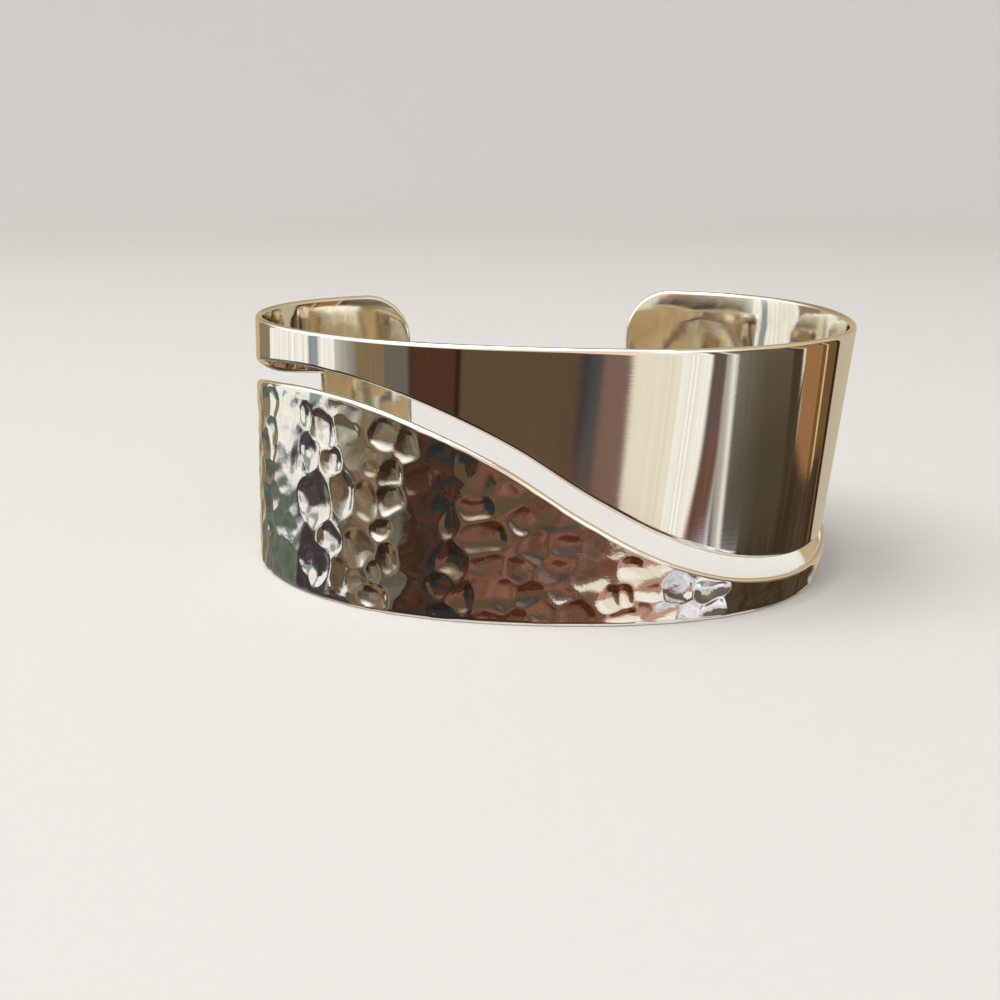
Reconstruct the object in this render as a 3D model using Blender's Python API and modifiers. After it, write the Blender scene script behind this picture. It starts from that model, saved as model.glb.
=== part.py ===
"""Cuff bracelet: one sheet of sterling silver, pierced with a long S-shaped slot, hammered below the
slot, and bent into an oval that is open at the back. It stands on its lower rim, with its front
towards -Y, and the origin is under the middle of its box. The sheet is made flat, in x along it,
z up it and y through it from its outer face at y = 0, and then bent."""

import math

import bpy
import numpy as np
from mathutils import Vector
from mathutils.geometry import delaunay_2d_cdt

# Driving sizes, in metres
CUFF_WIDTH = 0.0660          # left to right over the outside of the upper rim
CUFF_DEPTH = 0.0555          # front to back over the outside
CUFF_HEIGHT = 0.0273         # lower rim to upper rim
SHEET = 0.0008               # thickness of the silver sheet
RIM_ROUND = 0.00022          # rounding along every cut edge
GAP = 0.0274                 # opening at the back, along the oval
GAP_BEARING = 96.0           # degrees from +X to the middle of the opening
CORNER = 0.0055              # radius of the four corners at the back
SLOT_WIDTH = 0.0021          # width of the pierced slot
SLOT_MARGIN = 0.0122         # plain metal between each end of the slot and the end of the sheet
SPRING_OUT = 0.0008          # how far the narrow lower strip springs out at the right side
SPRING_LENGTH = 0.0260       # length of the strip that springs out
DENT_PITCH = 0.0030          # distance between neighbouring hammer marks
DENT_DEPTH = 0.00016         # depth of a hammer mark
RIM_STEP = 0.0017            # longest stretch of rim drawn as one straight edge
PLAIN_STEP = 0.0036          # spacing of the points inside the plain metal

# The oval at equal steps of 22.5 degrees from +X, as shares of half the width and half the depth
OVAL = (
    # reach at the upper rim, reach at the lower rim
    (1.000, 0.892),
    (1.036, 0.946),
    (1.107, 1.051),
    (1.078, 1.063),
    (0.930, 0.935),
    (0.939, 0.935),
    (1.043, 1.027),
    (1.047, 1.037),
    (0.984, 0.992),
    (0.925, 0.963),
    (0.900, 0.971),
    (0.901, 0.987),
    (0.945, 0.998),
    (1.044, 1.025),
    (1.078, 0.998),
    (1.032, 0.925),
)

# The middle line of the slot, from its left end to its right end
SLOT_LINE = (
    # share of the half length between the slot's ends, share of the height
    (-1.000, 0.630),
    (-0.886, 0.675),
    (-0.743, 0.772),
    (-0.614, 0.812),
    (-0.471, 0.824),
    (-0.371, 0.798),
    (-0.257, 0.722),
    (-0.143, 0.600),
    (-0.029, 0.423),
    (0.071, 0.286),
    (0.171, 0.198),
    (0.286, 0.155),
    (0.400, 0.152),
    (0.514, 0.170),
    (0.629, 0.228),
    (0.771, 0.312),
    (1.000, 0.370),
)

OVAL_SAMPLES = 1440          # points that measure the way round the oval
SLOT_SAMPLES = 400           # points that measure the slot's middle line
SPRING_MIDDLE = 0.585        # where the strip springs out most, as a share of the slot's half length
SILVER = (0.93, 0.91, 0.87, 1.0)


def clear_scene():
    for thing in list(bpy.data.objects):
        bpy.data.objects.remove(thing, do_unlink=True)


def closed_curve(shares, turn):
    """The smooth closed curve through equally spaced stations: the sum of their harmonics."""
    harmonics = np.fft.rfft(shares) / len(shares)
    weight = np.full(len(harmonics), 2.0)
    weight[0] = 1.0
    if len(shares) % 2 == 0:
        weight[-1] = 1.0
    order = np.arange(len(harmonics))
    return (weight * harmonics * np.exp(1j * np.outer(turn, order))).real.sum(axis=1)


def smooth_line(knots, values, at):
    """Cubic through the knots, with each knot's slope taken from its neighbours."""
    slopes = np.gradient(values, knots)
    index = np.clip(np.searchsorted(knots, at) - 1, 0, len(knots) - 2)
    span = knots[index + 1] - knots[index]
    t = (at - knots[index]) / span
    return (
        values[index] * (1 + 2 * t) * (1 - t) ** 2
        + values[index + 1] * t * t * (3 - 2 * t)
        + span * slopes[index] * t * (1 - t) ** 2
        + span * slopes[index + 1] * t * t * (t - 1)
    )


def oval_points(turn, height_share):
    """Outer surface: a share of the height between the oval of the lower rim and that of the upper."""
    upper, lower = np.array(OVAL).T
    reach = closed_curve(upper, turn) * height_share + closed_curve(lower, turn) * (1 - height_share)
    return np.stack(
        [CUFF_WIDTH / 2 * reach * np.cos(turn), CUFF_DEPTH / 2 * reach * np.sin(turn)], axis=1
    )


class Bend:
    """Carries the flat sheet round the oval: x along the sheet, y up it."""

    def __init__(self):
        self.turn = np.linspace(0.0, 4 * math.pi, 2 * OVAL_SAMPLES + 1)
        middle = oval_points(self.turn, np.full(len(self.turn), 0.5))
        steps = np.linalg.norm(np.diff(middle, axis=0), axis=1)
        self.length = np.concatenate([[0.0], np.cumsum(steps)])
        self.round = self.length[OVAL_SAMPLES]
        gap_at = np.interp(math.radians(GAP_BEARING), self.turn, self.length)
        self.sheet_middle = gap_at + self.round / 2
        self.half_sheet = (self.round - GAP) / 2
        self.half_slot = self.half_sheet - SLOT_MARGIN

    def place(self, along, height, outward):
        """Points of the bent sheet, each moved out level from the outer wall by its own amount."""
        turn = np.interp(self.sheet_middle + along, self.length, self.turn)
        share = height / CUFF_HEIGHT
        point = oval_points(turn, share)
        ahead = oval_points(turn + 1e-3, share) - oval_points(turn - 1e-3, share)
        ahead /= np.linalg.norm(ahead, axis=1)[:, None]
        out = np.stack([ahead[:, 1], -ahead[:, 0]], axis=1)
        return np.column_stack([point + out * outward[:, None], height])


def slot_edges(half_slot):
    """The slot's two edges in the flat sheet, each half the slot's width from its middle line."""
    shares = np.array(SLOT_LINE)
    along = np.linspace(-1.0, 1.0, SLOT_SAMPLES)
    middle = np.stack(
        [along * half_slot, smooth_line(shares[:, 0], shares[:, 1], along) * CUFF_HEIGHT], axis=1
    )
    ahead = np.gradient(middle, axis=0)
    ahead /= np.linalg.norm(ahead, axis=1)[:, None]
    ahead[0] = ahead[-1] = (1.0, 0.0)
    side = np.stack([-ahead[:, 1], ahead[:, 0]], axis=1) * SLOT_WIDTH / 2
    return middle + side, middle - side


def evenly(points, step):
    """The same line with points at most one step apart."""
    length = np.concatenate([[0.0], np.cumsum(np.linalg.norm(np.diff(points, axis=0), axis=1))])
    count = max(1, math.ceil(length[-1] / step))
    at = np.linspace(0.0, length[-1], count + 1)
    return np.stack([np.interp(at, length, points[:, 0]), np.interp(at, length, points[:, 1])], axis=1)


def sheet_outline(half_sheet):
    """The sheet's rim, counter-clockwise, with a quarter circle at each corner."""
    corners = (
        (half_sheet - CORNER, CORNER, -90),
        (half_sheet - CORNER, CUFF_HEIGHT - CORNER, 0),
        (-half_sheet + CORNER, CUFF_HEIGHT - CORNER, 90),
        (-half_sheet + CORNER, CORNER, 180),
    )
    arc_steps = max(4, math.ceil(CORNER * math.pi / 2 / RIM_STEP))
    arcs = []
    for x, y, start in corners:
        angle = np.radians(np.linspace(start, start + 90, arc_steps + 1))
        arcs.append(np.stack([x + CORNER * np.cos(angle), y + CORNER * np.sin(angle)], axis=1))
    rim = []
    for arc, following in zip(arcs, arcs[1:] + arcs[:1]):
        rim.append(arc[:-1])
        rim.append(evenly(np.array([arc[-1], following[0]]), RIM_STEP)[:-1])
    return np.concatenate(rim)


def slot_outline(half_slot):
    """The slot's rim, counter-clockwise, with square ends."""
    upper, lower = slot_edges(half_slot)
    return np.concatenate([evenly(lower, RIM_STEP), evenly(upper, RIM_STEP)[::-1]])


def inside(points, loop):
    """True for each point that lies inside the closed loop, by crossings of a level ray."""
    x, y = points[:, 0, None], points[:, 1, None]
    x0, y0 = loop[:, 0], loop[:, 1]
    x1, y1 = np.roll(x0, -1), np.roll(y0, -1)
    spans = (y0 > y) != (y1 > y)
    rise = np.where(y1 == y0, 1.0, y1 - y0)
    crosses = x < x0 + (y - y0) * (x1 - x0) / rise
    return (np.sum(spans & crosses, axis=1) % 2) == 1


def clearance(points, loop):
    """Distance from each point to the loop."""
    start = loop
    edge = np.roll(loop, -1, axis=0) - loop
    from_start = points[:, None, :] - start[None]
    share = np.sum(from_start * edge, axis=2) / np.sum(edge * edge, axis=1)
    nearest = from_start - np.clip(share, 0, 1)[..., None] * edge
    return np.linalg.norm(nearest, axis=2).min(axis=1)


def triangle_net(width, height, step):
    """Points of a net of equal triangles over the flat sheet. Every third point is a dent's middle."""
    row_step = step * math.sqrt(3) / 2
    columns = np.arange(-math.ceil(width / step / 2) - 1, math.ceil(width / step / 2) + 2)
    rows = np.arange(math.ceil(height / row_step) + 1)
    column, row = np.meshgrid(columns, rows)
    points = np.stack([(column + (row % 2) / 2) * step, row * row_step], axis=-1).reshape(-1, 2)
    is_middle = (column + (row % 2) * 2) % 3 == 0
    return points, is_middle.ravel()


def slot_height(along, half_slot):
    """Height of the slot's middle line, held level past the slot's ends."""
    shares = np.array(SLOT_LINE)
    reach = np.clip(along / half_slot, -1, 1)
    return smooth_line(shares[:, 0], shares[:, 1], reach) * CUFF_HEIGHT


def is_hammered(points, half_slot):
    """The hammered field is the metal below the slot, from one end of the slot to the other."""
    below = points[:, 1] < slot_height(points[:, 0], half_slot)
    return below & (np.abs(points[:, 0]) < half_slot)


def hammer_marks(points, half_slot):
    """Depth of the hammer marks: a shallow cone round each dent's middle, ending at its neighbours'."""
    ridge = DENT_PITCH / math.sqrt(3)
    net, is_middle = triangle_net(2 * half_slot, CUFF_HEIGHT, ridge)
    middles = net[is_middle]
    from_middle = np.linalg.norm(points[:, None, :] - middles[None], axis=2).min(axis=1)
    depth = DENT_DEPTH * np.clip(1 - from_middle / ridge, 0, 1)
    return depth * is_hammered(points, half_slot)


def spring(points, half_slot):
    """How far each point of the strip springs out: most at its free edge, nothing at the rim."""
    from_middle = (points[:, 0] - SPRING_MIDDLE * half_slot) / SPRING_LENGTH
    swell = np.exp(-4 * from_middle ** 2)
    free_edge = slot_height(points[:, 0], half_slot) - SLOT_WIDTH / 2
    share_up = np.clip(points[:, 1] / free_edge, 0, 1)
    return SPRING_OUT * swell * np.sin(share_up * math.pi / 2) * is_hammered(points, half_slot)


def pierced_blank(bend):
    """Corners and triangles of the flat sheet with its slot cut through."""
    rim = sheet_outline(bend.half_sheet)
    slot = slot_outline(bend.half_slot)
    dented, _ = triangle_net(2 * bend.half_slot, CUFF_HEIGHT, DENT_PITCH / math.sqrt(3))
    plain, _ = triangle_net(2 * bend.half_sheet, CUFF_HEIGHT, PLAIN_STEP)
    inner = np.concatenate(
        [
            dented[is_hammered(dented, bend.half_slot)],
            plain[~is_hammered(plain, bend.half_slot)],
        ]
    )
    clear = np.minimum(clearance(inner, rim), clearance(inner, slot)) > RIM_STEP / 2
    inner = inner[clear & inside(inner, rim) & ~inside(inner, slot)]

    points = np.concatenate([rim, slot, inner])
    cuts = []
    for start, count in ((0, len(rim)), (len(rim), len(slot))):
        cuts += [(start + i, start + (i + 1) % count) for i in range(count)]
    flat, _, faces, _, _, _ = delaunay_2d_cdt([Vector(p) for p in points], cuts, [], 0, 1e-7)
    flat = np.array([tuple(p) for p in flat])
    faces = np.array(faces)
    middles = flat[faces].mean(axis=1)
    return flat, faces[inside(middles, rim) & ~inside(middles, slot)]


def silver_material():
    material = bpy.data.materials.new("hammered_silver")
    material.use_nodes = True
    shader = material.node_tree.nodes["Principled BSDF"]
    shader.inputs["Base Color"].default_value = SILVER
    shader.inputs["Metallic"].default_value = 1.0
    shader.inputs["Roughness"].default_value = 0.12
    return material


def finished(thing):
    """The object's mesh with its modifiers applied."""
    return bpy.data.meshes.new_from_object(thing.evaluated_get(bpy.context.evaluated_depsgraph_get()))


def sheet_blank(bend, collection):
    """The flat sheet at its full thickness, with its slot pierced and its cut edges rounded."""
    flat, faces = pierced_blank(bend)
    mesh = bpy.data.meshes.new("flat sheet")
    corners = np.column_stack([flat[:, 0], np.zeros(len(flat)), flat[:, 1]])
    mesh.from_pydata(corners.tolist(), [], faces.tolist())
    blank = bpy.data.objects.new("flat_sheet", mesh)
    collection.objects.link(blank)

    wall = blank.modifiers.new("Sheet thickness", "SOLIDIFY")
    wall.thickness = SHEET
    wall.offset = -1.0

    rims = blank.modifiers.new("Rounded rims", "BEVEL")
    rims.width = min(RIM_ROUND, 0.45 * SHEET)
    rims.segments = 2
    rims.limit_method = "ANGLE"
    rims.angle_limit = math.radians(55)
    return blank


def build_cuff(collection):
    bend = Bend()
    blank = sheet_blank(bend, collection)
    mesh = finished(blank)
    bpy.data.objects.remove(blank)

    corners = np.array([tuple(vertex.co) for vertex in mesh.vertices])
    flat = corners[:, [0, 2]]
    share_out = np.clip(1 - corners[:, 1] / SHEET, 0, 1)
    outward = spring(flat, bend.half_slot) - corners[:, 1]
    outward -= hammer_marks(flat, bend.half_slot) * share_out
    bent = bend.place(flat[:, 0], flat[:, 1], outward)
    mesh.vertices.foreach_set("co", bent.ravel())
    mesh.update()

    mesh.name = "cuff"
    mesh.materials.append(silver_material())
    mesh.shade_smooth()
    mesh.set_sharp_from_angle(angle=math.radians(40))
    cuff = bpy.data.objects.new("cuff", mesh)
    collection.objects.link(cuff)


def main():
    clear_scene()
    collection = bpy.data.collections.new("cuff_bracelet")
    bpy.context.scene.collection.children.link(collection)
    build_cuff(collection)


main()
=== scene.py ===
# Looks of the cuff bracelet: one oval cuff of sterling silver, open at the back, with a long S-shaped
# slot. The metal above the slot is polished plain, and the metal below it is hammered.
import math

import bpy
import numpy as np
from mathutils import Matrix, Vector


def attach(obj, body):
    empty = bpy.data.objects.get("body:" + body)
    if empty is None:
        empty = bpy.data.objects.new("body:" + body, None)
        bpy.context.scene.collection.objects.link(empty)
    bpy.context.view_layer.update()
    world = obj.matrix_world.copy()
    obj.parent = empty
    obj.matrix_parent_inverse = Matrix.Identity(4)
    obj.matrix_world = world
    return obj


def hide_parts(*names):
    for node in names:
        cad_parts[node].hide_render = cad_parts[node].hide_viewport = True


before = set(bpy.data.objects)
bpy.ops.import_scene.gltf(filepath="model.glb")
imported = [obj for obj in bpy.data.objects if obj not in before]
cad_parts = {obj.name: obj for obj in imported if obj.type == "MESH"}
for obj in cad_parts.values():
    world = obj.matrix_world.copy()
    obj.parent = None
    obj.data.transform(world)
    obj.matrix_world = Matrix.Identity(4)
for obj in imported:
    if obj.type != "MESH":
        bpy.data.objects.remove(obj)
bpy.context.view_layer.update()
print("frame loaded:", sorted(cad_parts))

mm = 0.001                                # everything below is in metres


def hexColour(code):
    # sRGB hex to linear RGBA: c / 12.92 up to 0.04045, and ((c + 0.055) / 1.055) ** 2.4 above it
    parts = [int(code[i:i + 2], 16) / 255 for i in (1, 3, 5)]
    return tuple(c / 12.92 if c <= 0.04045 else ((c + 0.055) / 1.055) ** 2.4 for c in parts) + (1.0,)


def addNode(tree, kind, inputs=None, give=0, stops=None, **settings):
    # adds one node: each socket gets a value or another node's output, and a colour ramp its
    # (place, colour) stops; what comes back is the output that is asked for
    node = tree.nodes.new(kind)
    for name, value in settings.items():
        setattr(node, name, value)
    for socket, given in (inputs or {}).items():
        if isinstance(given, bpy.types.NodeSocket):
            tree.links.new(given, node.inputs[socket])
        else:
            node.inputs[socket].default_value = given
    for number, (place, colour) in enumerate(stops or ()):
        ramp = node.color_ramp.elements
        while number == 0 and len(ramp) > 1:
            ramp.remove(ramp[0])
        stop = ramp.new(place) if number else ramp[0]
        stop.position, stop.color = place, colour
    return node.outputs[give]


# the cuff's shape: the same sizes and formulas as the CAD part
cuff = dict(
    width=66.0 * mm,                      # over the outside of the upper rim
    depth=55.5 * mm,
    height=27.3 * mm,
    sheet=0.8 * mm,                       # thickness of the silver
    gap=27.4 * mm,                        # opening at the back, along the oval
    gapBearing=96.0,                      # degrees from +X to the middle of the opening
    corner=5.5 * mm,                      # radius of the four corners at the back
    slotWidth=2.1 * mm,
    slotMargin=12.2 * mm,                 # plain metal past each end of the slot
    springOut=0.8 * mm,                   # how far the lower strip springs out at the right
    springLength=26.0 * mm,
    springMiddle=0.585,                   # share of the slot's half length
    # reach of the oval at equal steps of 22.5 degrees from +X, as shares of the half width and depth
    upperReach=(1.000, 1.036, 1.107, 1.078, 0.930, 0.939, 1.043, 1.047,
                0.984, 0.925, 0.900, 0.901, 0.945, 1.044, 1.078, 1.032),
    lowerReach=(0.892, 0.946, 1.051, 1.063, 0.935, 0.935, 1.027, 1.037,
                0.992, 0.963, 0.971, 0.987, 0.998, 1.025, 0.998, 0.925),
    # the slot's middle line: share of its half length, share of the height
    slotAlong=(-1.0, -0.886, -0.743, -0.614, -0.471, -0.371, -0.257, -0.143, -0.029,
               0.071, 0.171, 0.286, 0.400, 0.514, 0.629, 0.771, 1.0),
    slotUp=(0.630, 0.675, 0.772, 0.812, 0.824, 0.798, 0.722, 0.600, 0.423,
            0.286, 0.198, 0.155, 0.152, 0.170, 0.228, 0.312, 0.370),
    fineStep=0.22 * mm,                   # spacing of the mesh's columns round the front
    coarseStep=0.40 * mm,                 # and at the sides
    fineEnds=(-45.0 * mm, 18.0 * mm),     # where the fine columns begin and end
    tabStep=0.45 * mm,                    # in the plain metal past the slot's ends
    cornerSteps=12,                       # columns in each rounded corner
    lowerRows=76, slotRows=8, upperRows=16,
    edgeShare=0.012,                      # share of the height that the rows beside an edge take
    innerRowStep=4,                       # the inner face is plain, so it takes every fourth row
    rimSteps=8,                           # steps round the rolled rim
    wayRoundSteps=1440,                   # chords that measure the way round the oval
    slotSteps=400,                        # points along the slot's edges
    springFall=4.0,                       # how fast the springing out dies away along the strip
)


def closedCurve(shares, turn):
    # smooth closed curve through equal stations: sum of w_k Re(h_k e^(i k turn)), h = rfft(shares) / n
    harmonics = np.fft.rfft(shares) / len(shares)
    weight = np.full(len(harmonics), 2.0)
    weight[0] = weight[-1] = 1.0
    order = np.arange(len(harmonics))
    return (weight * harmonics * np.exp(1j * turn[..., None] * order)).real.sum(axis=-1)


def smoothLine(knots, values, at):
    # cubic through the knots: v0 (1+2t)(1-t)^2 + v1 t^2 (3-2t) + span (m0 t (1-t)^2 + m1 t^2 (t-1))
    knots, values = np.array(knots), np.array(values)
    slopes = np.gradient(values, knots)
    index = np.clip(np.searchsorted(knots, at) - 1, 0, len(knots) - 2)
    span = knots[index + 1] - knots[index]
    t = (at - knots[index]) / span
    return (values[index] * (1 + 2 * t) * (1 - t) ** 2 + values[index + 1] * t * t * (3 - 2 * t)
            + span * slopes[index] * t * (1 - t) ** 2 + span * slopes[index + 1] * t * t * (t - 1))


def ovalPoints(turn, heightShare):
    # (W/2 k cos turn, D/2 k sin turn), k running from the lower rim's reach to the upper rim's
    reach = (closedCurve(cuff["upperReach"], turn) * heightShare
             + closedCurve(cuff["lowerReach"], turn) * (1 - heightShare))
    return np.stack([cuff["width"] / 2 * reach * np.cos(turn),
                     cuff["depth"] / 2 * reach * np.sin(turn)], axis=-1)


def measureOval():
    # length round the oval at mid height, as the sum of its chords, and where the sheet lies on it;
    # two turns of it, because the sheet's middle lies past the first turn's end
    samples = cuff["wayRoundSteps"]
    turn = np.linspace(0.0, 4 * math.pi, 2 * samples + 1)
    middle = ovalPoints(turn, np.full(len(turn), 0.5))
    length = np.concatenate([[0.0], np.cumsum(np.linalg.norm(np.diff(middle, axis=0), axis=1))])
    wayRound = length[samples]
    gapAt = np.interp(math.radians(cuff["gapBearing"]), turn, length)
    halfSheet = (wayRound - cuff["gap"]) / 2
    return dict(turn=turn, length=length, sheetMiddle=gapAt + wayRound / 2,
                halfSheet=halfSheet, halfSlot=halfSheet - cuff["slotMargin"])


oval = measureOval()


def bendRound(along, height, outward):
    # carries the flat sheet round the oval: point + n outward, n the level normal of the outer wall
    turn = np.interp(oval["sheetMiddle"] + along, oval["length"], oval["turn"])
    share = height / cuff["height"]
    point = ovalPoints(turn, share)
    step = 1e-3                           # radians
    ahead = ovalPoints(turn + step, share) - ovalPoints(turn - step, share)
    ahead /= np.linalg.norm(ahead, axis=-1)[..., None]
    out = np.stack([ahead[..., 1], -ahead[..., 0]], axis=-1)
    return np.concatenate([point + out * outward[..., None], height[..., None]], axis=-1)


def slotHeight(along):
    # height of the slot's middle line, held level past its ends
    reach = np.clip(along / oval["halfSlot"], -1, 1)
    return smoothLine(cuff["slotAlong"], cuff["slotUp"], reach) * cuff["height"]


def slotEdge(along, offset):
    # height of the line that runs beside the slot's middle line, at that distance along its normal
    at = np.linspace(-oval["halfSlot"], oval["halfSlot"], cuff["slotSteps"])
    middle = np.stack([at, slotHeight(at)], axis=1)
    ahead = np.gradient(middle, axis=0)
    ahead /= np.linalg.norm(ahead, axis=1)[:, None]
    ahead[0] = ahead[-1] = (1.0, 0.0)
    edge = middle + np.stack([-ahead[:, 1], ahead[:, 0]], axis=1) * offset
    return np.interp(along, edge[:, 0], edge[:, 1])


def isHammered(along, height):
    # the hammered field: the metal below the slot, from one end of the slot to the other
    return (height < slotHeight(along)) & (np.abs(along) < oval["halfSlot"])


# hammer marks: what the smith's round-faced hammer leaves below the slot
hammer = dict(
    # the strikes that stand out, in millimetres: middle along the sheet and up it, half length, half
    # height, and how hard the blow was, 1 for a full one
    strikes=(
        (-37, 15.5, 1.5, 1.2, 0.35), (-37, 12, 1.5, 1.1, 0.3), (-35, 18.5, 1.3, 1.3, 0.8),
        (-34, 15, 1.4, 1.9, 0.9), (-33, 10, 2.6, 2.7, 1), (-32.5, 3.5, 2.3, 2.2, 1),
        (-32, 17.5, 2, 1.9, 1), (-30.5, 6.5, 1.7, 1.6, 1), (-30.5, 14.5, 1.7, 1.5, 1),
        (-28.5, 11.5, 1.7, 2.5, 1), (-28.5, 20, 1.8, 0.9, 0.6), (-28.5, 18, 1.7, 1.3, 0.7),
        (-26.5, 6, 2, 1.9, 0.9), (-26, 3, 1.2, 1.4, 0.9), (-25.5, 11, 1.7, 1.8, 0.9),
        (-25, 14.5, 1.1, 1.1, 1), (-25, 16, 1.1, 0.7, 1), (-24, 4, 0.8, 1, 1.3), (-24, 1.5, 1.8, 1.5, 1.4),
        (-23.5, 8.5, 1.3, 1.3, 1.4), (-23.5, 18, 1.7, 1.6, 1), (-22.5, 5.5, 1.5, 1.6, 1.4),
        (-22.5, 11.5, 1.5, 1.5, 1.4), (-22.5, 14, 1.5, 1.5, 1.4), (-21, 17, 1.6, 1.6, 0.9),
        (-19.5, 14, 1.6, 1.9, 0.5), (-17, 3.5, 1.4, 1.3, 0.9), (-16.5, 1, 1.6, 1, 0.8),
        (-16, 9.5, 1, 1.5, 0.9), (-15.5, 6, 1.5, 1.8, 1), (-14.5, 2.5, 1.3, 1.4, 1),
        (-14.5, 15.5, 1.2, 1.5, 0.5), (-13, 11.5, 1.8, 1.4, 0.8), (-12.5, 8.5, 2.5, 1.5, 0.7),
        (-12, 5.5, 1.9, 1.5, 0.4), (-9, 5.5, 1.2, 1.1, 0.45), (-8.5, 10.5, 1.2, 1.1, 0.6),
        (-6.5, 1.5, 1.3, 1.3, 0.45), (-5, 3.5, 1.7, 1.3, 0.5), (0, 3, 1, 1.2, 1), (1.5, 1, 1.3, 0.8, 0.8),
        (1.5, 3, 0.8, 1, 1), (2, 6, 1.1, 1.2, 1), (4, 3.5, 1.4, 1.1, 0.5), (7, 3.5, 1.4, 1.5, 0.7),
        (10.5, 3, 1.8, 1, 0.9), (11, 1, 1.8, 1, 0.9), (27, 1.5, 3.1, 1, 0.7),
    ),
    reach=1.08,                           # every strike is this much wider than it measures
    edgeSlope=0.30,                       # how steep a full strike is at its edge
    flatness=2.7,                         # power of the bowl: over 2 it is flatter in the middle
    softness=0.016 * mm,                  # rounding of the ridges between strikes
    # every outline is bent by a few waves, and the whole field is slightly uneven
    bend=0.24 * mm, bendLength=3.4 * mm,
    waveDepth=0.009 * mm, waveLength=2.6 * mm,
    waveCount=9, waveSpread=(0.7, 1.6),   # shortest and longest wave, as shares of the length
    # the rest of the field is struck on a staggered net, each blow strayed by a seeded amount
    seed=11,
    columns=(-27, 27), rows=10, firstRow=0.2,
    pitchAlong=2.9 * mm, pitchUp=2.6 * mm,
    jitter=0.28,                          # share of the pitch
    halfSize=(1.35 * mm, 1.85 * mm),      # smallest and largest half length
    tallness=(0.8, 1.1),                  # a strike's height, as a share of its length
    apart=1.25,                           # from a strike above, in that strike's half sizes
    softBlow=(0.20, 0.46),                # between the strikes of the front
    hardBlow=(0.45, 0.9),                 # and to the left and right of them
    front=(-42.5 * mm, 28.0 * mm),
    margin=1.1 * mm,                      # left smooth under the slot
    fieldShare=0.97,                      # share of the slot's length that the net runs along
)


def hammerStrikes():
    # the strikes that stand out, and between them the net: middle (c + jitter) pitch, every other row
    # moved by half a pitch
    listed = np.array(hammer["strikes"]).T.copy()
    listed[:4] *= mm
    rng = np.random.default_rng(hammer["seed"])
    firstColumn, lastColumn = hammer["columns"]
    column, row = np.meshgrid(np.arange(firstColumn, lastColumn + 1), np.arange(hammer["rows"]))
    stray = rng.uniform(-1, 1, (2,) + column.shape) * hammer["jitter"]
    along = (column + 0.5 * (row % 2) + stray[0]) * hammer["pitchAlong"]
    up = (row + hammer["firstRow"] + stray[1]) * hammer["pitchUp"]
    halfLength = rng.uniform(*hammer["halfSize"], column.shape)
    halfHeight = halfLength * rng.uniform(*hammer["tallness"], column.shape)
    first, last = hammer["front"]
    blow = np.where((along > first) & (along < last), rng.uniform(*hammer["softBlow"], column.shape),
                    rng.uniform(*hammer["hardBlow"], column.shape))
    top = slotEdge(along, -cuff["slotWidth"] / 2) - hammer["margin"]
    awayFrom = np.hypot((along[..., None] - listed[0]) / listed[2], (up[..., None] - listed[1]) / listed[3])
    inField = (up < top) & (np.abs(along) < hammer["fieldShare"] * oval["halfSlot"])
    kept = inField & (awayFrom.min(-1) > hammer["apart"])
    net = np.stack([value[kept] for value in (along, up, halfLength, halfHeight, blow)])
    return np.concatenate([listed, net], axis=1)


def sineWaves(along, height, seed, length):
    # seeded sine waves of many bearings: sum sin(2 pi / l (s cos b + z sin b) + phase) / sqrt(count),
    # which mostly stays within -1 and 1
    rng = np.random.default_rng(seed)
    total = np.zeros(along.shape)
    for _ in range(hammer["waveCount"]):
        bearing, phase = rng.uniform(0, math.pi), rng.uniform(0, 2 * math.pi)
        turns = 2 * math.pi / (rng.uniform(*hammer["waveSpread"]) * length)
        total += np.sin(turns * (along * math.cos(bearing) + height * math.sin(bearing)) + phase)
    return total / math.sqrt(hammer["waveCount"])


def hammerDepth(along, height):
    # soft maximum of 0 and every strike's bowl: s log(1 + sum e^(bowl / s)),
    # bowl = depth (1 - rho^p), rho the elliptical distance from the strike's middle
    soft, power, seed = hammer["softness"], hammer["flatness"], hammer["seed"]
    bentAlong = along + hammer["bend"] * sineWaves(along, height, seed + 1, hammer["bendLength"])
    bentHeight = height + hammer["bend"] * sineWaves(along, height, seed + 2, hammer["bendLength"])
    total = np.zeros(along.shape)
    for middleAlong, middleUp, halfLength, halfHeight, blow in hammerStrikes().T:
        halfLength, halfHeight = halfLength * hammer["reach"], halfHeight * hammer["reach"]
        rho = np.hypot((bentAlong - middleAlong) / halfLength, (bentHeight - middleUp) / halfHeight)
        depth = blow * hammer["edgeSlope"] * min(halfLength, halfHeight) / power
        total += np.exp(np.clip(depth * (1 - rho ** power) / soft, -40, 40))  # kept from overflowing
    waves = hammer["waveDepth"] * sineWaves(along, height, seed + 3, hammer["waveLength"])
    return (soft * np.log1p(total) + waves) * isHammered(along, height)


def springOut(along, height):
    # the strip's free edge stands out: swell e^(-fall u^2) sin(pi/2 share up the strip)
    fromMiddle = (along - cuff["springMiddle"] * oval["halfSlot"]) / cuff["springLength"]
    freeEdge = slotHeight(along) - cuff["slotWidth"] / 2
    shareUp = np.clip(height / freeEdge, 0, 1)
    swell = np.exp(-cuff["springFall"] * fromMiddle ** 2) * np.sin(shareUp * math.pi / 2)
    return cuff["springOut"] * swell * isHammered(along, height)


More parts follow.
